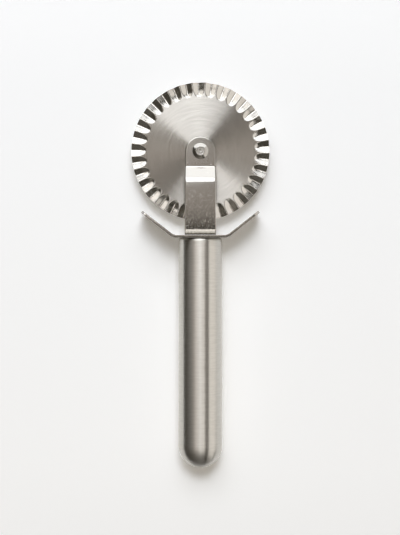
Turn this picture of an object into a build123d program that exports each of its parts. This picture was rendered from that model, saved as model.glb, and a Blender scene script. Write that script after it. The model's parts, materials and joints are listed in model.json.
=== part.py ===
from build123d import *
import os
from math import cos, pi, radians, sin, tan

# A fluted pastry wheel: a corrugated wheel that rolls in a joggled strap fork, a bent
# finger guard and a round tubular handle. All sizes are in millimetres.
#
# The tool lies on a table on its side: X across it, Y along it towards the wheel, Z up,
# along the axle. Each piece is drawn about the middle of the wheel and then placed, so
# that the origin ends up on the table, under the middle of the tool's outline.

# Cutting wheel, pressed from sheet
wheel_diameter = 60.0
wheel_sheet = 1.0
wheel_turn = 1.5  # degrees, the angle at which the wheel happens to stand
flute_count = 33
flute_length = 6.4  # from the rim to a flute's inner end
flute_end_length = 4.5  # the inner end, where the crease rises to the face
flute_depth = 1.5  # the crease below the face, at the rim
flute_land = 0.3  # flat crest left between two flutes

# Axle: a rivet clamps the fork on a sleeve, and the wheel turns on the sleeve
rivet_diameter = 4.0
rivet_head_overhang = 1.45  # past the shank, all round
rivet_head_height = 1.6
rivet_head_rim = 0.4  # upright edge of the head
rivet_head_bulge = 0.06  # of the head's sloping side
sleeve_wall = 0.95
hub_washer_diameter = 11.0
hub_washer_thickness = 0.8

# Fork, one bent strap
fork_sheet = 1.5
fork_eye_width = 12.9
fork_base_width = 13.7
fork_bend = 1.0  # inside radius of the tight bends
joggle_bend = 3.0  # inside radius of the easy bend, from the joggle to the arm
joggle_start = 7.1  # from the axle down to the joggle
joggle_length = 5.3

# Finger guard, a bent strip
guard_sheet = 1.2
guard_flat = 23.4  # the level middle stretch
guard_wing = 17.4  # along each wing, from the bend's corner
guard_wing_angle = 38.0
guard_bend = 4.0
guard_corner = 4.5

# Handle, a tube with a rolled shoulder and a closed round end
handle_diameter = 19.0
handle_length = 99.7
handle_wall = 1.0
handle_shoulder_bend = 0.4  # inside radius of the shoulder
plug_length = 16.0

# Screw and split washer that hold the fork and the guard to the plug
screw_diameter = 5.0
screw_head_overhang = 2.0  # past the shank, all round
screw_head_height = 2.2
screw_head_round = 0.9
screw_slot_width = 1.2
screw_slot_depth = 1.1
screw_reach = 9.0  # into the plug
screw_point = 0.5
lock_washer_width = 1.75  # of the ring
lock_washer_thickness = 1.0
lock_washer_split = 0.8

# Broken edges
fork_edge_round = 0.45
guard_edge_round = 0.15
edge_share = 0.4  # of the sheet, the most that an edge is rounded
sharp_angle = 45.0  # degrees between two faces, from which their edge is sharp

# Clearances
running_clearance = 0.05  # radial, the wheel on its sleeve
wheel_end_play = 0.1  # at each side of the wheel
pin_clearance = 0.05  # radial, the rivet and the plug
washer_clearance = 0.05  # radial, the washers on what they go round
screw_hole_clearance = 0.15  # radial, in the fork and the guard
mouth_clearance = 2.5  # radial, the screw in the tube's mouth
plug_seat_clearance = 0.2  # between the plug's chamfer and the tube's shoulder
arm_clearance = 2.6  # between the flutes and the rear arm, at least
washer_seat_clearance = 0.2  # between the split washer and the fork's bends
screw_rim_clearance = 1.7  # between the screw's head and the rim

# Radii
wheel_radius = wheel_diameter / 2
rivet_radius = rivet_diameter / 2
sleeve_radius = rivet_radius + pin_clearance + sleeve_wall
screw_radius = screw_diameter / 2
screw_head_radius = screw_radius + screw_head_overhang
lock_washer_radius = screw_radius + washer_clearance + lock_washer_width
handle_radius = handle_diameter / 2

# Places along the axle, from the middle of the wheel's sheet
wheel_face = wheel_sheet / 2
washer_low = wheel_face + wheel_end_play
eye_inside = washer_low + hub_washer_thickness
eye_outside = eye_inside + fork_sheet
flute_reach = wheel_face + flute_depth
washer_seat = lock_washer_radius + washer_seat_clearance
arm_inside = max(flute_reach + arm_clearance, washer_seat + fork_bend)
arm_outside = arm_inside + fork_sheet
axle_top = eye_outside + rivet_head_height

# Places along the tool, from the axle
fork_seat = -(wheel_radius + screw_rim_clearance + screw_head_height + lock_washer_thickness)
fork_foot = fork_seat - fork_sheet
handle_top = fork_foot - guard_sheet
handle_end = handle_top - handle_length

# The guard is as deep as the handle is thick, so the tool lies level
guard_depth = handle_diameter
rest_height = max(handle_radius, arm_outside)
tool_length = wheel_radius - handle_end
axle_place = Pos(0, tool_length / 2 - wheel_radius, rest_height)

through = tool_length  # longer than any piece that is cut through


def ring(outer_radius, inner_radius, low, high):
    """A flat ring about the axle."""
    outline = Circle(outer_radius) - Circle(inner_radius)
    return Pos(0, 0, low) * extrude(outline, high - low)


def axle_hole(radius):
    """A cutter along the axle."""
    return Cylinder(radius, through)


def tool_axis_hole(radius):
    """A cutter along the tool's own axis."""
    return Rot(90, 0, 0) * Cylinder(radius, through)


def break_edges(strip, edge_round, sheet):
    """Rounds the sharp edges of a strip, and leaves the seams between smooth faces."""
    sharp = []
    for edge in strip.edges():
        middle = edge.position_at(0.5)
        sides = [face.normal_at(middle) for face in strip.faces() if edge in face.edges()]
        if sides[0].get_angle(sides[1]) > sharp_angle:
            sharp.append(edge)
    return fillet(sharp, min(edge_round, edge_share * sheet))


def flute_half_width(radius):
    return radius * tan(pi / flute_count) - flute_land / 2


def flute_form():
    """One flute as a solid: a V with sides of one slope, whose crease rises to the face in an ellipse."""
    slope = flute_depth / flute_half_width(wheel_radius)
    lift = slope * flute_land / 4  # past the face, short of the next flute
    rim_pitch = pi * wheel_diameter / flute_count
    tip = wheel_radius - flute_length
    inner = tip + flute_end_length
    past_rim = wheel_radius + wheel_sheet
    depth = slope * flute_half_width(inner)
    depth_past_rim = slope * flute_half_width(past_rim)
    crease = make_face(
        [
            EllipticalCenterArc((inner, 0), flute_end_length, depth, 180, arc_size=90),
            Polyline((inner, -depth), (past_rim, -depth_past_rim), (past_rim, lift), (tip, lift), (tip, 0)),
        ]
    )
    side = extrude(Plane.YZ * crease, rim_pitch, dir=(1, 0, slope))
    below = Pos(0, 0, lift - through / 2) * Box(through, through, through)
    return Pos(0, 0, wheel_face) * ((side + mirror(side, Plane.YZ)) & below)


def fluted_wheel():
    """Flutes pressed from the front: each one is a groove in the face and a ridge on the back."""
    groove = flute_form()
    ridge = Pos(0, 0, -wheel_sheet) * groove
    turns = [Rot(0, 0, wheel_turn + 360 * i / flute_count) for i in range(flute_count)]
    disc = ring(wheel_radius, sleeve_radius + running_clearance, -wheel_face, wheel_face)
    rim = Cylinder(wheel_radius, 4 * (wheel_sheet + flute_depth))
    pressed = (disc + [turn * ridge for turn in turns]) & rim
    return pressed - [turn * groove for turn in turns]


def axle_rivet():
    """A plain shank with a worked head at each end: a flat face and bulging sides."""
    edge = rivet_radius + rivet_head_overhang
    shoulder = eye_outside + rivet_head_rim
    side_middle = ((rivet_radius + edge) / 2 + rivet_head_bulge, (shoulder + axle_top) / 2 + rivet_head_bulge)
    half_outline = make_face(
        [
            Polyline((0, axle_top), (0, 0), (rivet_radius, 0), (rivet_radius, eye_outside)),
            Polyline((rivet_radius, eye_outside), (edge, eye_outside), (edge, shoulder)),
            ThreePointArc((edge, shoulder), side_middle, (rivet_radius, axle_top)),
            Line((rivet_radius, axle_top), (0, axle_top)),
        ]
    )
    front_half = revolve(Plane.XZ * half_outline, Axis.Z)
    return front_half + mirror(front_half, Plane.XY)


def axle_sleeve():
    return ring(sleeve_radius, rivet_radius + pin_clearance, -eye_inside, eye_inside)


def front_hub_washer():
    return ring(hub_washer_diameter / 2, sleeve_radius + washer_clearance, washer_low, eye_inside)


def rear_hub_washer():
    return mirror(front_hub_washer(), Plane.XY)


def fork():
    """A strap bent to a U round the wheel, with a joggle that brings each eye in to the hub."""
    eye_radius = fork_eye_width / 2
    joggle_end = joggle_start + joggle_length
    half_sheet = fork_sheet / 2
    eye = eye_inside + half_sheet
    arm = arm_inside + half_sheet
    base = fork_seat - half_sheet
    front_arm = [(fork_eye_width, eye), (-joggle_start, eye), (-joggle_end, arm), (base, arm)]
    rear_arm = [(y, -z) for y, z in reversed(front_arm)]
    tight = fork_bend + half_sheet
    easy = joggle_bend + half_sheet
    middle_line = FilletPolyline(*front_arm, *rear_arm, radius=[tight, easy, tight, tight, easy, tight])
    strap = extrude(Plane.YZ * trace(middle_line, fork_sheet), through, both=True)
    foot_line = Line((-fork_base_width / 2, fork_foot), (fork_base_width / 2, fork_foot))
    outline = make_hull(Circle(eye_radius).edges() + foot_line.edges())
    bent = break_edges(strap & extrude(outline, through, both=True), fork_edge_round, fork_sheet)
    bent -= axle_hole(rivet_radius + pin_clearance)
    return bent - tool_axis_hole(screw_radius + screw_hole_clearance)


def guard():
    """A strip across the tool, level in the middle, with wings that rise beside the wheel."""
    flat_half = guard_flat / 2
    level = fork_foot - guard_sheet / 2
    tip = flat_half + guard_wing * cos(radians(guard_wing_angle))
    tip_level = level + guard_wing * sin(radians(guard_wing_angle))
    middle_line = FilletPolyline(
        (-tip, tip_level), (-flat_half, level), (flat_half, level), (tip, tip_level),
        radius=guard_bend + guard_sheet / 2,
    )
    strip = extrude(trace(middle_line, guard_sheet), guard_depth / 2, both=True)
    corners = strip.edges().filter_by(lambda edge: abs(edge.length - guard_sheet) < guard_sheet / 100)
    strip = break_edges(fillet(corners, guard_corner), guard_edge_round, guard_sheet)
    return strip - tool_axis_hole(screw_radius + screw_hole_clearance)


def handle_form(radius, top, end, shoulder):
    """A round bar with a rounded shoulder at the top and a half-ball end."""
    half_outline = make_face(
        [
            Line((0, top), (radius - shoulder, top)),
            CenterArc((radius - shoulder, top - shoulder), shoulder, 0, 90),
            Line((radius, top - shoulder), (radius, end + radius)),
            CenterArc((0, end + radius), radius, 270, 90),
            Line((0, end), (0, top)),
        ]
    )
    return revolve(half_outline, Axis.Y)


def handle_tube():
    outside = handle_form(handle_radius, handle_top, handle_end, handle_wall + handle_shoulder_bend)
    inside = handle_form(
        handle_radius - handle_wall, handle_top - handle_wall, handle_end + handle_wall, handle_shoulder_bend
    )
    mouth = Pos(0, handle_top) * Rot(90, 0, 0) * Cylinder(screw_radius + mouth_clearance, 4 * handle_wall)
    return outside - inside - mouth


def handle_plug():
    """A turned plug that bears on the inside of the tube's shoulder."""
    radius = handle_radius - handle_wall - pin_clearance
    top = handle_top - handle_wall
    bottom = top - plug_length
    hole = screw_radius + pin_clearance
    chamfer = handle_shoulder_bend + plug_seat_clearance
    half_outline = make_face(
        Polyline(
            (hole, top), (radius - chamfer, top), (radius, top - chamfer),
            (radius, bottom + chamfer), (radius - chamfer, bottom), (hole, bottom), close=True,
        )
    )
    return revolve(half_outline, Axis.Y)


def fork_screw():
    """A slotted screw with a low rounded head."""
    seat = fork_seat + lock_washer_thickness
    top = seat + screw_head_height
    tail = handle_top - handle_wall - screw_reach
    round_start = screw_head_radius - screw_head_round
    half_outline = make_face(
        [
            Polyline((0, top), (0, tail), (screw_radius - screw_point, tail), (screw_radius, tail + screw_point)),
            Polyline((screw_radius, tail + screw_point), (screw_radius, seat), (screw_head_radius, seat)),
            Line((screw_head_radius, seat), (screw_head_radius, top - screw_head_round)),
            CenterArc((round_start, top - screw_head_round), screw_head_round, 0, 90),
            Line((round_start, top), (0, top)),
        ]
    )
    slot = Pos(0, top) * Box(2 * screw_head_radius, 2 * screw_slot_depth, screw_slot_width)
    return revolve(half_outline, Axis.Y) - slot


def lock_washer():
    outline = Circle(lock_washer_radius) - Circle(screw_radius + washer_clearance)
    outline -= Pos(lock_washer_radius, 0) * Rectangle(2 * lock_washer_radius, lock_washer_split)
    return Pos(0, fork_seat) * Rot(-90, 0, 0) * extrude(outline, lock_washer_thickness)


pieces = {
    "fluted_wheel": fluted_wheel,
    "axle_rivet": axle_rivet,
    "axle_sleeve": axle_sleeve,
    "front_hub_washer": front_hub_washer,
    "rear_hub_washer": rear_hub_washer,
    "fork": fork,
    "guard": guard,
    "handle_tube": handle_tube,
    "handle_plug": handle_plug,
    "fork_screw": fork_screw,
    "lock_washer": lock_washer,
}

os.makedirs("parts", exist_ok=True)
for name, make_piece in pieces.items():
    export_step(axle_place * make_piece(), f"parts/{name}.step")
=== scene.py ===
import json
import math

import bmesh
import bpy
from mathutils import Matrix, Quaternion, Vector


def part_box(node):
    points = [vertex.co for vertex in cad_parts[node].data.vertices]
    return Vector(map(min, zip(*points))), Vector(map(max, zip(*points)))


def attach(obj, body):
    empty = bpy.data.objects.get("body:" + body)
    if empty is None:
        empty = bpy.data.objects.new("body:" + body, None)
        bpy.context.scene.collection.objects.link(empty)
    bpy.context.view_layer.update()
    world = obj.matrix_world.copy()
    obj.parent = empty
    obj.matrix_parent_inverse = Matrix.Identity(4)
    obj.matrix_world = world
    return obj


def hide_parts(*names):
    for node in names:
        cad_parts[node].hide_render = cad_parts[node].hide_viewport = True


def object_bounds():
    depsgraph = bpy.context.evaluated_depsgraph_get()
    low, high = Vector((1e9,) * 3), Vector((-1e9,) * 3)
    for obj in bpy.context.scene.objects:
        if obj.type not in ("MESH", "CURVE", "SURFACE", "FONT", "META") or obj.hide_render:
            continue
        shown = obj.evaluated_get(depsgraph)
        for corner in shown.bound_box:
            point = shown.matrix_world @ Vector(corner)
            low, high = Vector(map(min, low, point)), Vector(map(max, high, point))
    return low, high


# A fluted pastry wheel of stainless steel, lying on a pale table and seen from straight above.
# Lengths are in metres, in the frame of the model: X across the tool, Y along it towards the
# wheel, Z up along the axle.

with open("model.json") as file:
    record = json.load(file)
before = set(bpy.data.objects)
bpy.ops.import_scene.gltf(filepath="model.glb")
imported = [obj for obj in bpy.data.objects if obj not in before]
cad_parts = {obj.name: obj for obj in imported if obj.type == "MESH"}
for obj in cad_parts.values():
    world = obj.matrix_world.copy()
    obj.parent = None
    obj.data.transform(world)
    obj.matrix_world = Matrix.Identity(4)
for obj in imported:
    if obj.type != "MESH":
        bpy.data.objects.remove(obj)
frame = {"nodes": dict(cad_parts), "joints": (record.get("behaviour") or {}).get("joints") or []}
cad_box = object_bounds()
nodes = frame["nodes"]
mm = 0.001

# The photo's frame, and where the axle is in it
photo_width = 400
photo_height = 535
photo_axle = (200.4, 151.4)
pixel_at_wheel = 0.4345 * mm
camera_distance = 650 * mm

# Places read from the frame
axle = Vector(frame["joints"][0]["pos_m"])
wheel_low, wheel_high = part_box("fluted_wheel")
rivet_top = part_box("axle_rivet")[1]
fork_low, fork_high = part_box("fork")
guard_low, guard_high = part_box("guard")
tube_low, tube_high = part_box("handle_tube")
eye_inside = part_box("front_hub_washer")[1].z
wheel_face = wheel_high.z
wheel_radius = wheel_high.x - axle.x

# Cutting wheel
wheel_sheet = 1.0 * mm
wheel_turn = math.radians(1.5)
running_clearance = 0.05 * mm
bore_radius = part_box("axle_sleeve")[1].x - axle.x + running_clearance
flute_count = 33
flute_length = 6.4 * mm
flute_end_length = 4.5 * mm
flute_depth = wheel_high.z - wheel_low.z - wheel_sheet
flute_land = 0.3 * mm
crease_round = 0.2 * mm
crest_round = 0.4 * mm
burnish_depth = 0.06 * mm
flat_rows = 4
flute_rows = 34

# Rivet
rivet_radius = 2.0 * mm
rivet_head_radius = rivet_top.x - axle.x
rivet_head_rim = 0.4 * mm
rivet_spin_marks = ((0.4, 0.04), (0.8, 0.0), (1.2, 0.04), (1.6, 0.0))  # radius and depth, in mm

# Fork
fork_sheet = 1.5 * mm
fork_eye_radius = 6.45 * mm
fork_base_width = 13.7 * mm
fork_bend = 1.0 * mm
fork_edge_round = 0.45 * mm
joggle_bend = 3.0 * mm
joggle_start = 7.1 * mm
joggle_length = 5.3 * mm
arm_bow = math.radians(2.2)  # from end to end, a rise of about 0.1 mm
scuff_start = 2.0 * mm  # below the joggle
scuff_end = 10.0 * mm

# Guard
guard_sheet = 1.2 * mm
guard_flat = 23.4 * mm
guard_wing = 17.4 * mm
guard_wing_angle = math.radians(38)
guard_bend = 4.0 * mm
guard_corner = 4.5 * mm
guard_edge_round = 0.15 * mm

# Handle
handle_wall = 1.0 * mm
handle_shoulder_bend = 0.4 * mm
mouth_radius = 5.0 * mm

# Marks in the finishes
ring_width = 0.5 * mm
ring_length = 10.0 * mm
burnish_patch = 1.5 * mm
scuff_size = 0.7 * mm
scratch_width = 0.6 * mm
scratch_length = 4.0 * mm
scratch_tilt = 0.03  # as a slope
haze_patch = 1.0 * mm

# Table, and the dark cards on it that paint a dark reflection in the metal
table_size = 6.0
table_lift = (0.29, 0.19)  # near the end of the handle and beyond the wheel
card_reach = 1.5
card_thickness = 1.0 * mm
card_clearance = 5.0 * mm  # outside the photo's frame

# Smooth meshes
flat_margin = 0.15 * mm  # rows this near to a bend keep its shading off the flats
arc_steps = 12
lathe_steps = 128
sharp_angle = math.radians(50)
weld_distance = 0.001 * mm


def linear(hex_colour):
    """An sRGB hex colour as a linear RGBA colour."""
    channels = [int(hex_colour[i:i + 2], 16) / 255 for i in (1, 3, 5)]
    return [c / 12.92 if c <= 0.04045 else ((c + 0.055) / 1.055) ** 2.4 for c in channels] + [1.0]


def add_node(tree, kind, settings=None, inputs=None):
    """Adds a node with its settings, and sets or links its inputs, by name or by number."""
    node = tree.nodes.new(kind)
    for name, value in (settings or {}).items():
        setattr(node, name, value)
    for key, value in (inputs or {}).items():
        if isinstance(value, bpy.types.NodeSocket):
            tree.links.new(value, node.inputs[key])
        else:
            node.inputs[key].default_value = value
    return node


def new_material(name):
    """An empty node material, with its tree."""
    material = bpy.data.materials.new(name)
    material.use_nodes = True
    material.node_tree.nodes.clear()
    return material, material.node_tree


def fluted_sheet():
    """Stainless sheet turned on a lathe, whose fine rings draw light out along the radius.

    The flutes have no rings and a closer finish, for the press tool has burnished them; their lighter
    colour is painted light, a brighter copy of the steel.
    """
    material, tree = new_material("fluted_sheet")
    # Rings that fade in and out round the disc, drawn coarser than the real tool marks, to show
    # at the photo's scale
    place = add_node(tree, "ShaderNodeTexCoord")
    from_axle = add_node(tree, "ShaderNodeVectorMath", {"operation": "SUBTRACT"}, {
        0: place.outputs["Object"],
        1: axle,
    })
    flat = add_node(tree, "ShaderNodeVectorMath", {"operation": "MULTIPLY"}, {
        0: from_axle.outputs[0],
        1: (1, 1, 0),
    })
    radius = add_node(tree, "ShaderNodeVectorMath", {"operation": "LENGTH"}, {0: flat.outputs[0]})
    ring = add_node(tree, "ShaderNodeCombineXYZ", inputs={"Z": radius.outputs["Value"]})
    ring_stretch = ring_width / ring_length
    drawn = add_node(tree, "ShaderNodeVectorMath", {"operation": "MULTIPLY_ADD"}, {
        0: flat.outputs[0],
        1: (ring_stretch, ring_stretch, 0),
        2: ring.outputs[0],
    })
    marks = add_node(tree, "ShaderNodeTexNoise", inputs={
        "Vector": drawn.outputs[0],
        "Scale": 1 / ring_width,
        "Detail": 2.0,
    })
    shade = add_node(tree, "ShaderNodeMapRange", inputs={
        "Value": marks.outputs[0],
        "From Min": 0.35,
        "From Max": 0.65,
    })
    colour = add_node(tree, "ShaderNodeMix", {"data_type": "RGBA"}, {
        "Factor": shade.outputs[0],
        6: linear("#B0ADA7"),
        7: linear("#B8B5AF"),
    })
    tangent = add_node(tree, "ShaderNodeTangent", {"direction_type": "RADIAL", "axis": "Z"})
    turned = add_node(tree, "ShaderNodeBsdfPrincipled", inputs={
        "Base Color": colour.outputs[2],
        "Metallic": 1.0,
        "Roughness": 0.26,
        "Anisotropic": 1.0,
        "Anisotropic Rotation": 0.25,
        "Tangent": tangent.outputs[0],
    })
    # Patches that the press tool has rubbed more or less
    wear = add_node(tree, "ShaderNodeTexNoise", inputs={
        "Vector": place.outputs["Object"],
        "Scale": 1 / burnish_patch,
        "Detail": 2.0,
    })
    roughness = add_node(tree, "ShaderNodeMapRange", inputs={
        "Value": wear.outputs[0],
        "From Min": 0.3,
        "From Max": 0.7,
        "To Min": 0.13,
        "To Max": 0.24,
    })
    # Burnished flutes: closer roughness, and a lighter colour that is painted light
    burnished_painted_bright = add_node(tree, "ShaderNodeBsdfPrincipled", inputs={
        "Base Color": linear("#CCC9C3"),
        "Metallic": 1.0,
        "Roughness": roughness.outputs[0],
    })
    pressed = add_node(tree, "ShaderNodeAttribute", {"attribute_name": "pressed"})
    steel = add_node(tree, "ShaderNodeMixShader", inputs={
        0: pressed.outputs["Fac"],
        1: turned.outputs[0],
        2: burnished_painted_bright.outputs[0],
    })
    add_node(tree, "ShaderNodeOutputMaterial", inputs={"Surface": steel.outputs[0]})
    return material


def satin_sheet():
    """Tumbled stainless sheet: a close satin with no direction, and pale scuffs below the joggle."""
    material, tree = new_material("satin_sheet")
    # Scuffs that gather where the arm is knocked
    place = add_node(tree, "ShaderNodeTexCoord")
    scuffs = add_node(tree, "ShaderNodeTexNoise", inputs={
        "Vector": place.outputs["Object"],
        "Scale": 1 / scuff_size,
        "Detail": 2.0,
    })
    along = add_node(tree, "ShaderNodeSeparateXYZ", inputs={0: place.outputs["Object"]})
    joggle_foot = axle.y - joggle_start - joggle_length
    worn = add_node(tree, "ShaderNodeMapRange", inputs={
        "Value": along.outputs["Y"],
        "From Min": joggle_foot - scuff_start,
        "From Max": joggle_foot - scuff_end,
        "To Min": 0.68,
        "To Max": 0.48,
    })
    fleck = add_node(tree, "ShaderNodeMapRange", inputs={
        "Value": scuffs.outputs[0],
        "From Min": worn.outputs[0],
        "From Max": 0.75,
    })
    colour = add_node(tree, "ShaderNodeMix", {"data_type": "RGBA"}, {
        "Factor": fleck.outputs[0],
        6: linear("#B4B1AB"),
        7: linear("#CAC7C1"),
    })
    roughness = add_node(tree, "ShaderNodeMapRange", inputs={
        "Value": fleck.outputs[0],
        "To Min": 0.13,
        "To Max": 0.22,
    })
    steel = add_node(tree, "ShaderNodeBsdfPrincipled", inputs={
        "Base Color": colour.outputs[2],
        "Metallic": 1.0,
        "Roughness": roughness.outputs[0],
    })
    add_node(tree, "ShaderNodeOutputMaterial", inputs={"Surface": steel.outputs[0]})
    return material


def brushed_tube():
    """Stainless tube brushed round and round: scratches draw light out along the handle."""
    material, tree = new_material("brushed_tube")
    # Scratches that are each tilted a little their own way, drawn coarser than the real brushing,
    # to show at the photo's scale
    place = add_node(tree, "ShaderNodeTexCoord")
    scratch_stretch = scratch_width / scratch_length
    drawn = add_node(tree, "ShaderNodeVectorMath", {"operation": "MULTIPLY"}, {
        0: place.outputs["Object"],
        1: (scratch_stretch, 1, scratch_stretch),
    })
    scratches = add_node(tree, "ShaderNodeTexNoise", inputs={
        "Vector": drawn.outputs[0],
        "Scale": 1 / scratch_width,
        "Detail": 2.0,
    })
    shade = add_node(tree, "ShaderNodeMapRange", inputs={
        "Value": scratches.outputs[0],
        "From Min": 0.35,
        "From Max": 0.65,
    })
    colour = add_node(tree, "ShaderNodeMix", {"data_type": "RGBA"}, {
        "Factor": shade.outputs[0],
        6: linear("#C3C0B9"),
        7: linear("#CBC8C1"),
    })
    tilt = add_node(tree, "ShaderNodeMapRange", {"clamp": False}, {
        "Value": scratches.outputs[0],
        "To Min": -scratch_tilt,
        "To Max": scratch_tilt,
    })
    tangent = add_node(tree, "ShaderNodeTangent", {"direction_type": "RADIAL", "axis": "Y"})
    surface = add_node(tree, "ShaderNodeNewGeometry")
    across = add_node(tree, "ShaderNodeVectorMath", {"operation": "SCALE"}, {
        0: tangent.outputs[0],
        "Scale": tilt.outputs[0],
    })
    tilted = add_node(tree, "ShaderNodeVectorMath", {"operation": "ADD"}, {
        0: surface.outputs["Normal"],
        1: across.outputs[0],
    })
    facing = add_node(tree, "ShaderNodeVectorMath", {"operation": "NORMALIZE"}, {0: tilted.outputs[0]})
    steel = add_node(tree, "ShaderNodeBsdfPrincipled", inputs={
        "Base Color": colour.outputs[2],
        "Metallic": 1.0,
        "Roughness": 0.34,
        "Anisotropic": 0.9,
        "Anisotropic Rotation": 0.25,
        "Tangent": tangent.outputs[0],
        "Normal": facing.outputs[0],
    })
    add_node(tree, "ShaderNodeOutputMaterial", inputs={"Surface": steel.outputs[0]})
    return material


def bright_steel():
    """Turned small parts: bright, with a light haze from handling."""
    material, tree = new_material("bright_steel")
    place = add_node(tree, "ShaderNodeTexCoord")
    haze = add_node(tree, "ShaderNodeTexNoise", inputs={
        "Vector": place.outputs["Object"],
        "Scale": 1 / haze_patch,
        "Detail": 2.0,
    })
    roughness = add_node(tree, "ShaderNodeMapRange", inputs={
        "Value": haze.outputs[0],
        "From Min": 0.3,
        "From Max": 0.7,
        "To Min": 0.2,
        "To Max": 0.26,
    })
    steel = add_node(tree, "ShaderNodeBsdfPrincipled", inputs={
        "Base Color": linear("#B4B1AB"),
        "Metallic": 1.0,
        "Roughness": roughness.outputs[0],
    })
    add_node(tree, "ShaderNodeOutputMaterial", inputs={"Surface": steel.outputs[0]})
    return material


def smooth_piece(name, made):
    """Turns a built mesh into a smooth object, creased only at its sharp edges."""
    bmesh.ops.remove_doubles(made, verts=made.verts, dist=weld_distance)
    bmesh.ops.recalc_face_normals(made, faces=made.faces)
    for face in made.faces:
        face.smooth = True
    mesh = bpy.data.meshes.new(name)
    made.to_mesh(mesh)
    made.free()
    mesh.set_sharp_from_angle(angle=sharp_angle)
    piece = bpy.data.objects.new(name, mesh)
    bpy.context.scene.collection.objects.link(piece)
    return piece


def flute_half_width(radius):
    """Half the width of a flute at a radius, from its crease to the flat crest beside it."""
    return radius * math.tan(math.pi / flute_count) - flute_land / 2


def flute_depth_at(radius, across):
    """How far the sheet is pressed in, at a distance across from the crease of a flute.

    The sides have one slope, and the crease rises to the face in an ellipse at the inner end.
    """
    slope = flute_depth / flute_half_width(wheel_radius)
    inner = wheel_radius - flute_length + flute_end_length
    along = (inner - radius) / flute_end_length
    if along <= 0:
        crease = slope * flute_half_width(radius)
    elif along < 1:
        crease = slope * flute_half_width(inner) * math.sqrt(1 - along ** 2)
    else:
        return 0.0
    depth = crease - slope * math.hypot(across, crease_round)
    soft = slope * crest_round / 2
    if depth <= -soft:
        return 0.0
    if depth < soft:
        return (depth + soft) ** 2 / (4 * soft)
    return depth


def make_fluted_wheel():
    """A pressed disc: front and back sheets over one polar grid, closed at the rim and at the bore."""
    # Columns lie closer at the crease and at the crest of a flute
    shares = [(1 - math.cos(math.pi * i / arc_steps)) / 2 for i in range(arc_steps + 1)]
    turns = [-share for share in reversed(shares[1:-1])] + shares
    flute_start = wheel_radius - flute_length
    flat_end = flute_start - flat_margin
    radii = [bore_radius + (flat_end - bore_radius) * i / flat_rows for i in range(flat_rows + 1)]
    radii += [flute_start + flute_length * i / flute_rows for i in range(flute_rows + 1)]
    made = bmesh.new()
    pressed = made.verts.layers.float.new("pressed")
    fronts, backs = [], []
    for flute in range(flute_count):
        for share in turns:
            angle = wheel_turn + (flute + share / 2) * 2 * math.pi / flute_count
            front_row, back_row = [], []
            for radius in radii:
                across = abs(share) * radius * math.tan(math.pi / flute_count)
                depth = flute_depth_at(radius, across)
                x = axle.x - radius * math.sin(angle)
                y = axle.y + radius * math.cos(angle)
                z = wheel_face - depth
                front_row.append(made.verts.new((x, y, z)))
                back_row.append(made.verts.new((x, y, z - wheel_sheet)))
                front_row[-1][pressed] = back_row[-1][pressed] = min(depth / burnish_depth, 1)
            fronts.append(front_row)
            backs.append(back_row)
    columns = len(fronts)
    for i in range(columns):
        f0, f1 = fronts[i], fronts[(i + 1) % columns]
        b0, b1 = backs[i], backs[(i + 1) % columns]
        for j in range(len(radii) - 1):
            made.faces.new((f0[j], f0[j + 1], f1[j + 1], f1[j]))
            made.faces.new((b0[j], b1[j], b1[j + 1], b0[j + 1]))
        made.faces.new((f0[0], f1[0], b1[0], b0[0]))
        made.faces.new((f0[-1], b0[-1], b1[-1], f1[-1]))
    return smooth_piece("pressed_wheel", made)


def arc(centre, radius, start, end):
    """Points of an arc in a plane, from one angle to another, in degrees."""
    angles = [math.radians(start + (end - start) * i / arc_steps) for i in range(arc_steps + 1)]
    return [(centre[0] + radius * math.cos(a), centre[1] + radius * math.sin(a)) for a in angles]


def lathe(name, profile, seat):
    """A turned piece: a closed profile of (radius, height) points, spun about its axis.

    seat puts a point of it, given as two places across the axis and one along it, into the frame.
    """
    made = bmesh.new()
    turns = [2 * math.pi * i / lathe_steps for i in range(lathe_steps)]
    rows = [
        [made.verts.new(seat(radius * math.cos(turn), radius * math.sin(turn), height)) for turn in turns]
        for radius, height in profile
    ]
    for row, next_row in zip(rows, rows[1:] + rows[:1]):
        for i in range(lathe_steps):
            j = (i + 1) % lathe_steps
            made.faces.new((row[i], row[j], next_row[j], next_row[i]))
    return smooth_piece(name, made)


def make_rivet():
    """A shank with a spun head at each end: a marked flat face and a sloping side."""
    low = eye_inside + fork_sheet - axle.z
    top = rivet_top.z - axle.z
    rim = low + rivet_head_rim
    half = [(0.0, top - rivet_spin_marks[0][1] * mm)]
    half += [(radius * mm, top - depth * mm) for radius, depth in rivet_spin_marks]
    edge = Vector((rivet_radius, top))
    side_rows = (0, 0.1, 0.9, 1)  # rows near its ends keep the side's shading flat
    side = [edge.lerp(Vector((rivet_head_radius, rim)), share) for share in side_rows]
    half += [(rivet_radius - flat_margin, top)] + [tuple(point) for point in side]
    half += [(rivet_head_radius, low), (rivet_radius, low)]
    profile = half + [(radius, -height) for radius, height in reversed(half)]
    return lathe("spun_rivet", profile, lambda a, b, height: axle + Vector((a, b, height)))


def handle_outline(radius, top, end, shoulder):
    """Half the outline of a round bar with a rounded shoulder and a half-ball end, from its top."""
    return (
        [(mouth_radius, top), (radius - shoulder - flat_margin, top)]
        + list(reversed(arc((radius - shoulder, top - shoulder), shoulder, 0, 90)))
        + [(radius, top - shoulder - flat_margin), (radius, end + radius + flat_margin)]
        + arc((0, end + radius), radius, 0, -90)
    )


def make_handle():
    """A tube with a rolled shoulder and a closed round end."""
    centre = (tube_low + tube_high) / 2
    radius = tube_high.x - centre.x
    shoulder = handle_wall + handle_shoulder_bend
    outside = handle_outline(radius, tube_high.y, tube_low.y, shoulder)
    inside = handle_outline(
        radius - handle_wall, tube_high.y - handle_wall, tube_low.y + handle_wall, handle_shoulder_bend
    )
    profile = outside + list(reversed(inside))
    return lathe(
        "brushed_handle", profile,
        lambda a, b, height: Vector((centre.x + a, height, centre.z + b)),
    )


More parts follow.
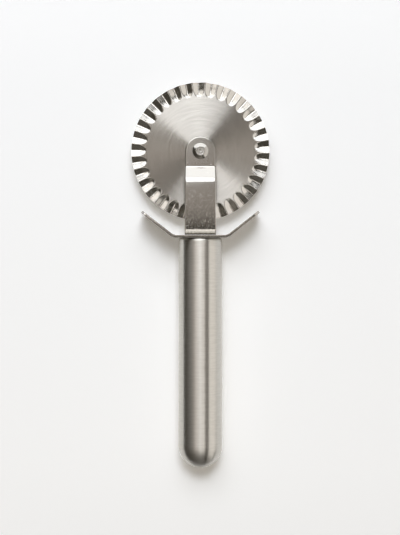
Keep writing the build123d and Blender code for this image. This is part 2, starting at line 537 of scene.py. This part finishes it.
def follow(route, distance):
    """Place and heading at a distance along a route, whose legs are (length, turn)."""
    place = Vector((0, 0))
    heading = 0.0
    for length, turn in route:
        step = min(distance, length)
        bend = turn * step / length
        chord = 2 * length / turn * math.sin(bend / 2) if turn else step
        middle_heading = heading + bend / 2
        place += chord * Vector((math.cos(middle_heading), math.sin(middle_heading)))
        heading += bend
        distance -= step
    return place, heading


def bent_strip(name, route, half_widths, end_radius, edge_round, sheet, seat):
    """A strip with rounded edges and round corners, bent alike to both sides of its middle.

    half_widths are its half widths in the middle and at the corners. seat puts a point of it, given
    as two places along the route's plane and one across the strip, into the frame.
    """
    end_start = sum(length for length, turn in route) - end_radius
    stations = [0.0]
    passed = 0.0
    for length, turn in route:
        if turn:
            stations += [passed + length * i / arc_steps for i in range(arc_steps + 1)]
        else:
            stations += [passed + flat_margin, passed + length - flat_margin]
        passed += length
    stations = [u for u in stations if u < end_start - flat_margin]

    def edge(inset):
        """The strip's edge from its middle to its end, drawn in by an inset."""
        taper = (half_widths[1] - half_widths[0]) / end_start
        side = [(u, half_widths[0] + taper * u - inset) for u in stations]
        corner = arc((end_start, half_widths[1] - end_radius), end_radius - inset, 90, 0)
        return side + corner

    def bent(u, v, height):
        """A point of the strip, bent: u along it, v across it and a height over its middle sheet."""
        place, heading = follow(route, abs(u))
        along = place.x + height * math.sin(heading)
        return seat(math.copysign(along, u), place.y - height * math.cos(heading), v)

    turns = [math.pi / 2 * i / arc_steps for i in range(arc_steps + 1)]
    rounded = [(edge_round * (1 - math.cos(t)), sheet / 2 - edge_round * (1 - math.sin(t))) for t in turns]
    rounded.append((edge_round + flat_margin, sheet / 2))
    levels = [(inset, -height) for inset, height in reversed(rounded)] + rounded
    made = bmesh.new()
    loops = []
    for inset, height in levels:
        half = edge(inset)
        right = [(-u, v) for u, v in reversed(half[1:])] + half
        outline = right + [(u, -v) for u, v in reversed(right)]
        loops.append([made.verts.new(bent(u, v, height)) for u, v in outline])
    count = len(loops[0])
    for lower, upper in zip(loops, loops[1:]):
        for i in range(count):
            j = (i + 1) % count
            made.faces.new((lower[i], lower[j], upper[j], upper[i]))
    for loop in (loops[0], loops[-1]):
        for i in range(count // 2 - 1):
            made.faces.new((loop[i], loop[i + 1], loop[count - 2 - i], loop[count - 1 - i]))
    return smooth_piece(name, made)


def make_fork():
    """A strap bent to a U round the wheel, with a joggle that brings each eye in to the hub."""
    half_sheet = fork_sheet / 2
    eye = eye_inside + half_sheet - axle.z
    arm = fork_high.z - half_sheet - axle.z
    base = fork_low.y + half_sheet
    tight = fork_bend + half_sheet
    easy = joggle_bend + half_sheet
    arm_length = axle.y - joggle_start - joggle_length - base
    arm_end = arm - arm_length / 2 * math.tan(arm_bow / 4)
    slant = math.atan2(arm_end - eye, joggle_length)
    base_turn = (math.pi - arm_bow) / 2
    joggle_turn = slant - arm_bow / 2
    tight_tangent = tight * math.tan(slant / 2)
    easy_tangent = easy * math.tan(joggle_turn / 2)
    route = [
        (arm_end - tight, 0.0),
        (tight * base_turn, base_turn),
        (arm_length - tight - easy_tangent, arm_bow),
        (easy * joggle_turn, joggle_turn),
        (math.hypot(joggle_length, arm_end - eye) - easy_tangent - tight_tangent, 0.0),
        (tight * slant, -slant),
        (joggle_start - tight_tangent + fork_eye_radius, 0.0),
    ]
    return bent_strip(
        "strap_fork", route, (fork_base_width / 2, fork_eye_radius), fork_eye_radius,
        fork_edge_round, fork_sheet,
        lambda along, up, across: Vector((axle.x + across, base + up, axle.z + along)),
    )


def make_guard():
    """A strip across the tool, level in the middle, with wings that rise beside the wheel."""
    middle = (guard_low + guard_high) / 2
    level = guard_low.y + guard_sheet / 2
    half_depth = guard_high.z - middle.z
    bend = guard_bend + guard_sheet / 2
    tangent = bend * math.tan(guard_wing_angle / 2)
    route = [
        (guard_flat / 2 - tangent, 0.0),
        (bend * guard_wing_angle, guard_wing_angle),
        (guard_wing - tangent, 0.0),
    ]
    return bent_strip(
        "bent_guard", route, (half_depth, half_depth), guard_corner, guard_edge_round, guard_sheet,
        lambda along, up, across: Vector((middle.x + along, level + up, middle.z + across)),
    )


# Pieces that stand for CAD nodes, and what each is made of
fluted = fluted_sheet()
satin = satin_sheet()
brushed = brushed_tube()
bright = bright_steel()
pieces = [
    (make_fluted_wheel(), "wheel", "fluted_wheel", "turned_steel", fluted),
    (make_rivet(), "frame", "axle_rivet", "rivet_steel", bright),
    (make_fork(), "frame", "fork", "strap_steel", satin),
    (make_guard(), "frame", "guard", "strap_steel", satin),
    (make_handle(), "frame", "handle_tube", "handle_steel", brushed),
]
for piece, body, node, slot, material in pieces:
    piece.data.materials.append(material)
    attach(piece, body)
    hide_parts(node)

finishes = {
    fluted: ["fluted_wheel"],
    satin: ["fork", "guard"],
    brushed: ["handle_tube"],
    bright: [
        "axle_rivet", "axle_sleeve", "front_hub_washer", "rear_hub_washer",
        "handle_plug", "fork_screw", "lock_washer",
    ],
}
for material, names in finishes.items():
    for name in names:
        nodes[name].data.materials.clear()
        nodes[name].data.materials.append(material)


def table_paint():
    """White paint on a pale table.

    The eye also sees warm light of the room on it, more at the near side.
    """
    material, tree = new_material("table_paint")
    paint = add_node(tree, "ShaderNodeBsdfPrincipled", inputs={
        "Base Color": linear("#F6F7F8"),
        "Roughness": 0.8,
        "Specular IOR Level": 0.1,
    })
    path = add_node(tree, "ShaderNodeLightPath")
    seen = add_node(tree, "ShaderNodeMath", {"operation": "MAXIMUM"}, {
        0: path.outputs["Is Camera Ray"],
        1: path.outputs["Is Glossy Ray"],
    })
    seen = add_node(tree, "ShaderNodeMath", {"operation": "MAXIMUM"}, {
        0: seen.outputs[0],
        1: path.outputs["Is Transmission Ray"],
    })
    place = add_node(tree, "ShaderNodeTexCoord")
    along = add_node(tree, "ShaderNodeSeparateXYZ", inputs={0: place.outputs["Object"]})
    room_light = add_node(tree, "ShaderNodeMapRange", inputs={
        "Value": along.outputs["Y"],
        "From Min": cad_box[0].y,
        "From Max": cad_box[1].y,
        "To Min": table_lift[0],
        "To Max": table_lift[1],
    })
    lift = add_node(tree, "ShaderNodeMath", {"operation": "MULTIPLY"}, {
        0: seen.outputs[0],
        1: room_light.outputs[0],
    })
    glow = add_node(tree, "ShaderNodeEmission", inputs={
        "Color": linear("#FFF7EA"),
        "Strength": lift.outputs[0],
    })
    both = add_node(tree, "ShaderNodeAddShader", inputs={0: paint.outputs[0], 1: glow.outputs[0]})
    add_node(tree, "ShaderNodeOutputMaterial", inputs={"Surface": both.outputs[0]})
    return material


# Table
bpy.ops.mesh.primitive_plane_add(size=table_size)
table = bpy.context.object
table.name = "table"
table.data.materials.append(table_paint())


def dark_reflection_card():
    """Matt black, which stays near black in any light, for cards that paint a dark reflection into the
    metal.
    """
    material, tree = new_material("dark_reflection_card")
    card = add_node(tree, "ShaderNodeBsdfPrincipled", inputs={
        # Near-black colour of the painted dark reflection
        "Base Color": linear("#1A1A18"),
        "Roughness": 0.9,
    })
    add_node(tree, "ShaderNodeOutputMaterial", inputs={"Surface": card.outputs[0]})
    return material


def lay_card(name, low, high, material):
    """A card flat on the table, between two corners, which shows in the metal alone: a painted reflection,
    unseen by the camera, casting no shadow and lighting nothing.
    """
    made = bmesh.new()
    bmesh.ops.create_cube(made, size=1.0)
    mesh = bpy.data.meshes.new(name)
    made.to_mesh(mesh)
    made.free()
    mesh.materials.append(material)
    card = bpy.data.objects.new(name, mesh)
    bpy.context.scene.collection.objects.link(card)
    card.location = ((low[0] + high[0]) / 2, (low[1] + high[1]) / 2, card_thickness / 2)
    card.scale = (high[0] - low[0], high[1] - low[1], card_thickness)
    card.visible_camera = False
    card.visible_diffuse = False
    card.visible_shadow = False


# Dark cards at the left and at the near side, out of the camera's view: a painted dark reflection, which
# draws the dark lines on the handle
photo_left = axle.x - photo_axle[0] * pixel_at_wheel - card_clearance
photo_near = axle.y - (photo_height - photo_axle[1]) * pixel_at_wheel - card_clearance
black = dark_reflection_card()
lay_card("left_card", (-card_reach, -card_reach), (photo_left, card_reach), black)
lay_card("near_card", (photo_left, -card_reach), (card_reach, photo_near), black)

# Camera, straight above the point that is in the middle of the photo
camera_data = bpy.data.cameras.new("camera")
camera = bpy.data.objects.new("camera", camera_data)
bpy.context.scene.collection.objects.link(camera)
bpy.context.scene.camera = camera
camera_data.sensor_width = 36.0
camera_data.lens = camera_data.sensor_width * camera_distance / (photo_height * pixel_at_wheel)
camera_data.clip_start = 0.01
camera.location = (
    axle.x + (photo_width / 2 - photo_axle[0]) * pixel_at_wheel,
    axle.y - (photo_height / 2 - photo_axle[1]) * pixel_at_wheel,
    wheel_face + camera_distance,
)


def softbox(name, centre, aim, width, height, radiance, colour, turn=0.0):
    """An even light panel that faces along aim, turned about that direction by some degrees."""
    light = bpy.data.lights.new(name, "AREA")
    light.shape = "RECTANGLE"
    light.size = width
    light.size_y = height
    light.color = linear(colour)[:3]
    light.energy = radiance * math.pi * width * height
    lamp = bpy.data.objects.new(name, light)
    lamp.visible_camera = False
    bpy.context.scene.collection.objects.link(lamp)
    lamp.location = centre
    lamp.rotation_mode = "QUATERNION"
    facing = Vector(aim).to_track_quat("-Z", "Y")
    lamp.rotation_quaternion = facing @ Quaternion((0, 0, 1), math.radians(turn))
    return lamp


# Light tent, whose panels stand askew to the tool
tent_height = 0.9
tent_turn = 52  # degrees, about the upright
cross_turn = tent_turn - 90
down = (0, 0, -1)
skylight = "#F6F9FE"
daylight = "#F9FBFF"
white = "#FFFBF7"
warm_white = "#FFF3EB"


def ceiling_panel(name, place, width, height, radiance, colour, turn=0.0):
    """A panel in the ceiling of the tent, over a place on the table."""
    return softbox(name, (*place, tent_height), down, width, height, radiance, colour, turn)


# The main panel lights everything, and a higher one gives the table its shadows
ceiling_panel("main_softbox", (-0.11, 0.845), 1.0, 1.0, 3.15, daylight, tent_turn)
table_softbox = softbox("table_softbox", (0.05, 0.66, 1.4), down, 0.48, 0.48, 13.2, skylight)
table_softbox.visible_glossy = False

# Panels on all sides of the camera and low ones round the wheel, which show in the metal alone
reflected = [
    ceiling_panel("side_softbox", (-0.416, 0.373), 0.9, 0.1, 0.8, white, cross_turn),
    ceiling_panel("near_fill", (0.03, -0.32), 0.34, 0.34, 1.8, white, tent_turn),
    ceiling_panel("near_right_fill", (0.26, -0.25), 0.3, 0.3, 2.25, white, tent_turn),
    ceiling_panel("near_left_fill", (-0.34, -0.23), 0.35, 0.42, 0.88, warm_white, cross_turn),
    ceiling_panel("left_fill", (-0.575, 0.075), 0.75, 0.36, 0.7, warm_white, -3),
    ceiling_panel("right_fill", (0.42, 0.06), 0.6, 0.42, 0.44, warm_white),
    ceiling_panel("ceiling_card", (0, 0.09), 0.2, 0.11, 0.4, warm_white),
    softbox("far_left_card", (-0.5, 0.45, 0.35), (0.5, -0.4, -0.35), 0.42, 0.2, 1.4, white),
    softbox("near_wall", (-0.35, -0.75, 0.55), (0.35, 0.8, -0.55), 1.0, 0.3, 0.06, white),
    softbox("far_wall", (-0.3, 1.5, 0.45), (0, -1, 0), 3.8, 0.9, 2.1, daylight),
    softbox("right_wall", (1.4, -0.2, 0.7), (-1, 0, 0), 3.0, 1.4, 1.05, white),
]
for panel in reflected:
    panel.visible_diffuse = False

# The dim, warm room round the tent
world = bpy.data.worlds.new("studio")
bpy.context.scene.world = world
world.use_nodes = True
world.node_tree.nodes.clear()
room = add_node(world.node_tree, "ShaderNodeBackground", inputs={
    "Color": linear("#FFF5E0"),
    "Strength": 0.07,
})
add_node(world.node_tree, "ShaderNodeOutputWorld", inputs={"Surface": room.outputs[0]})

bpy.context.scene.view_settings.view_transform = "Standard"
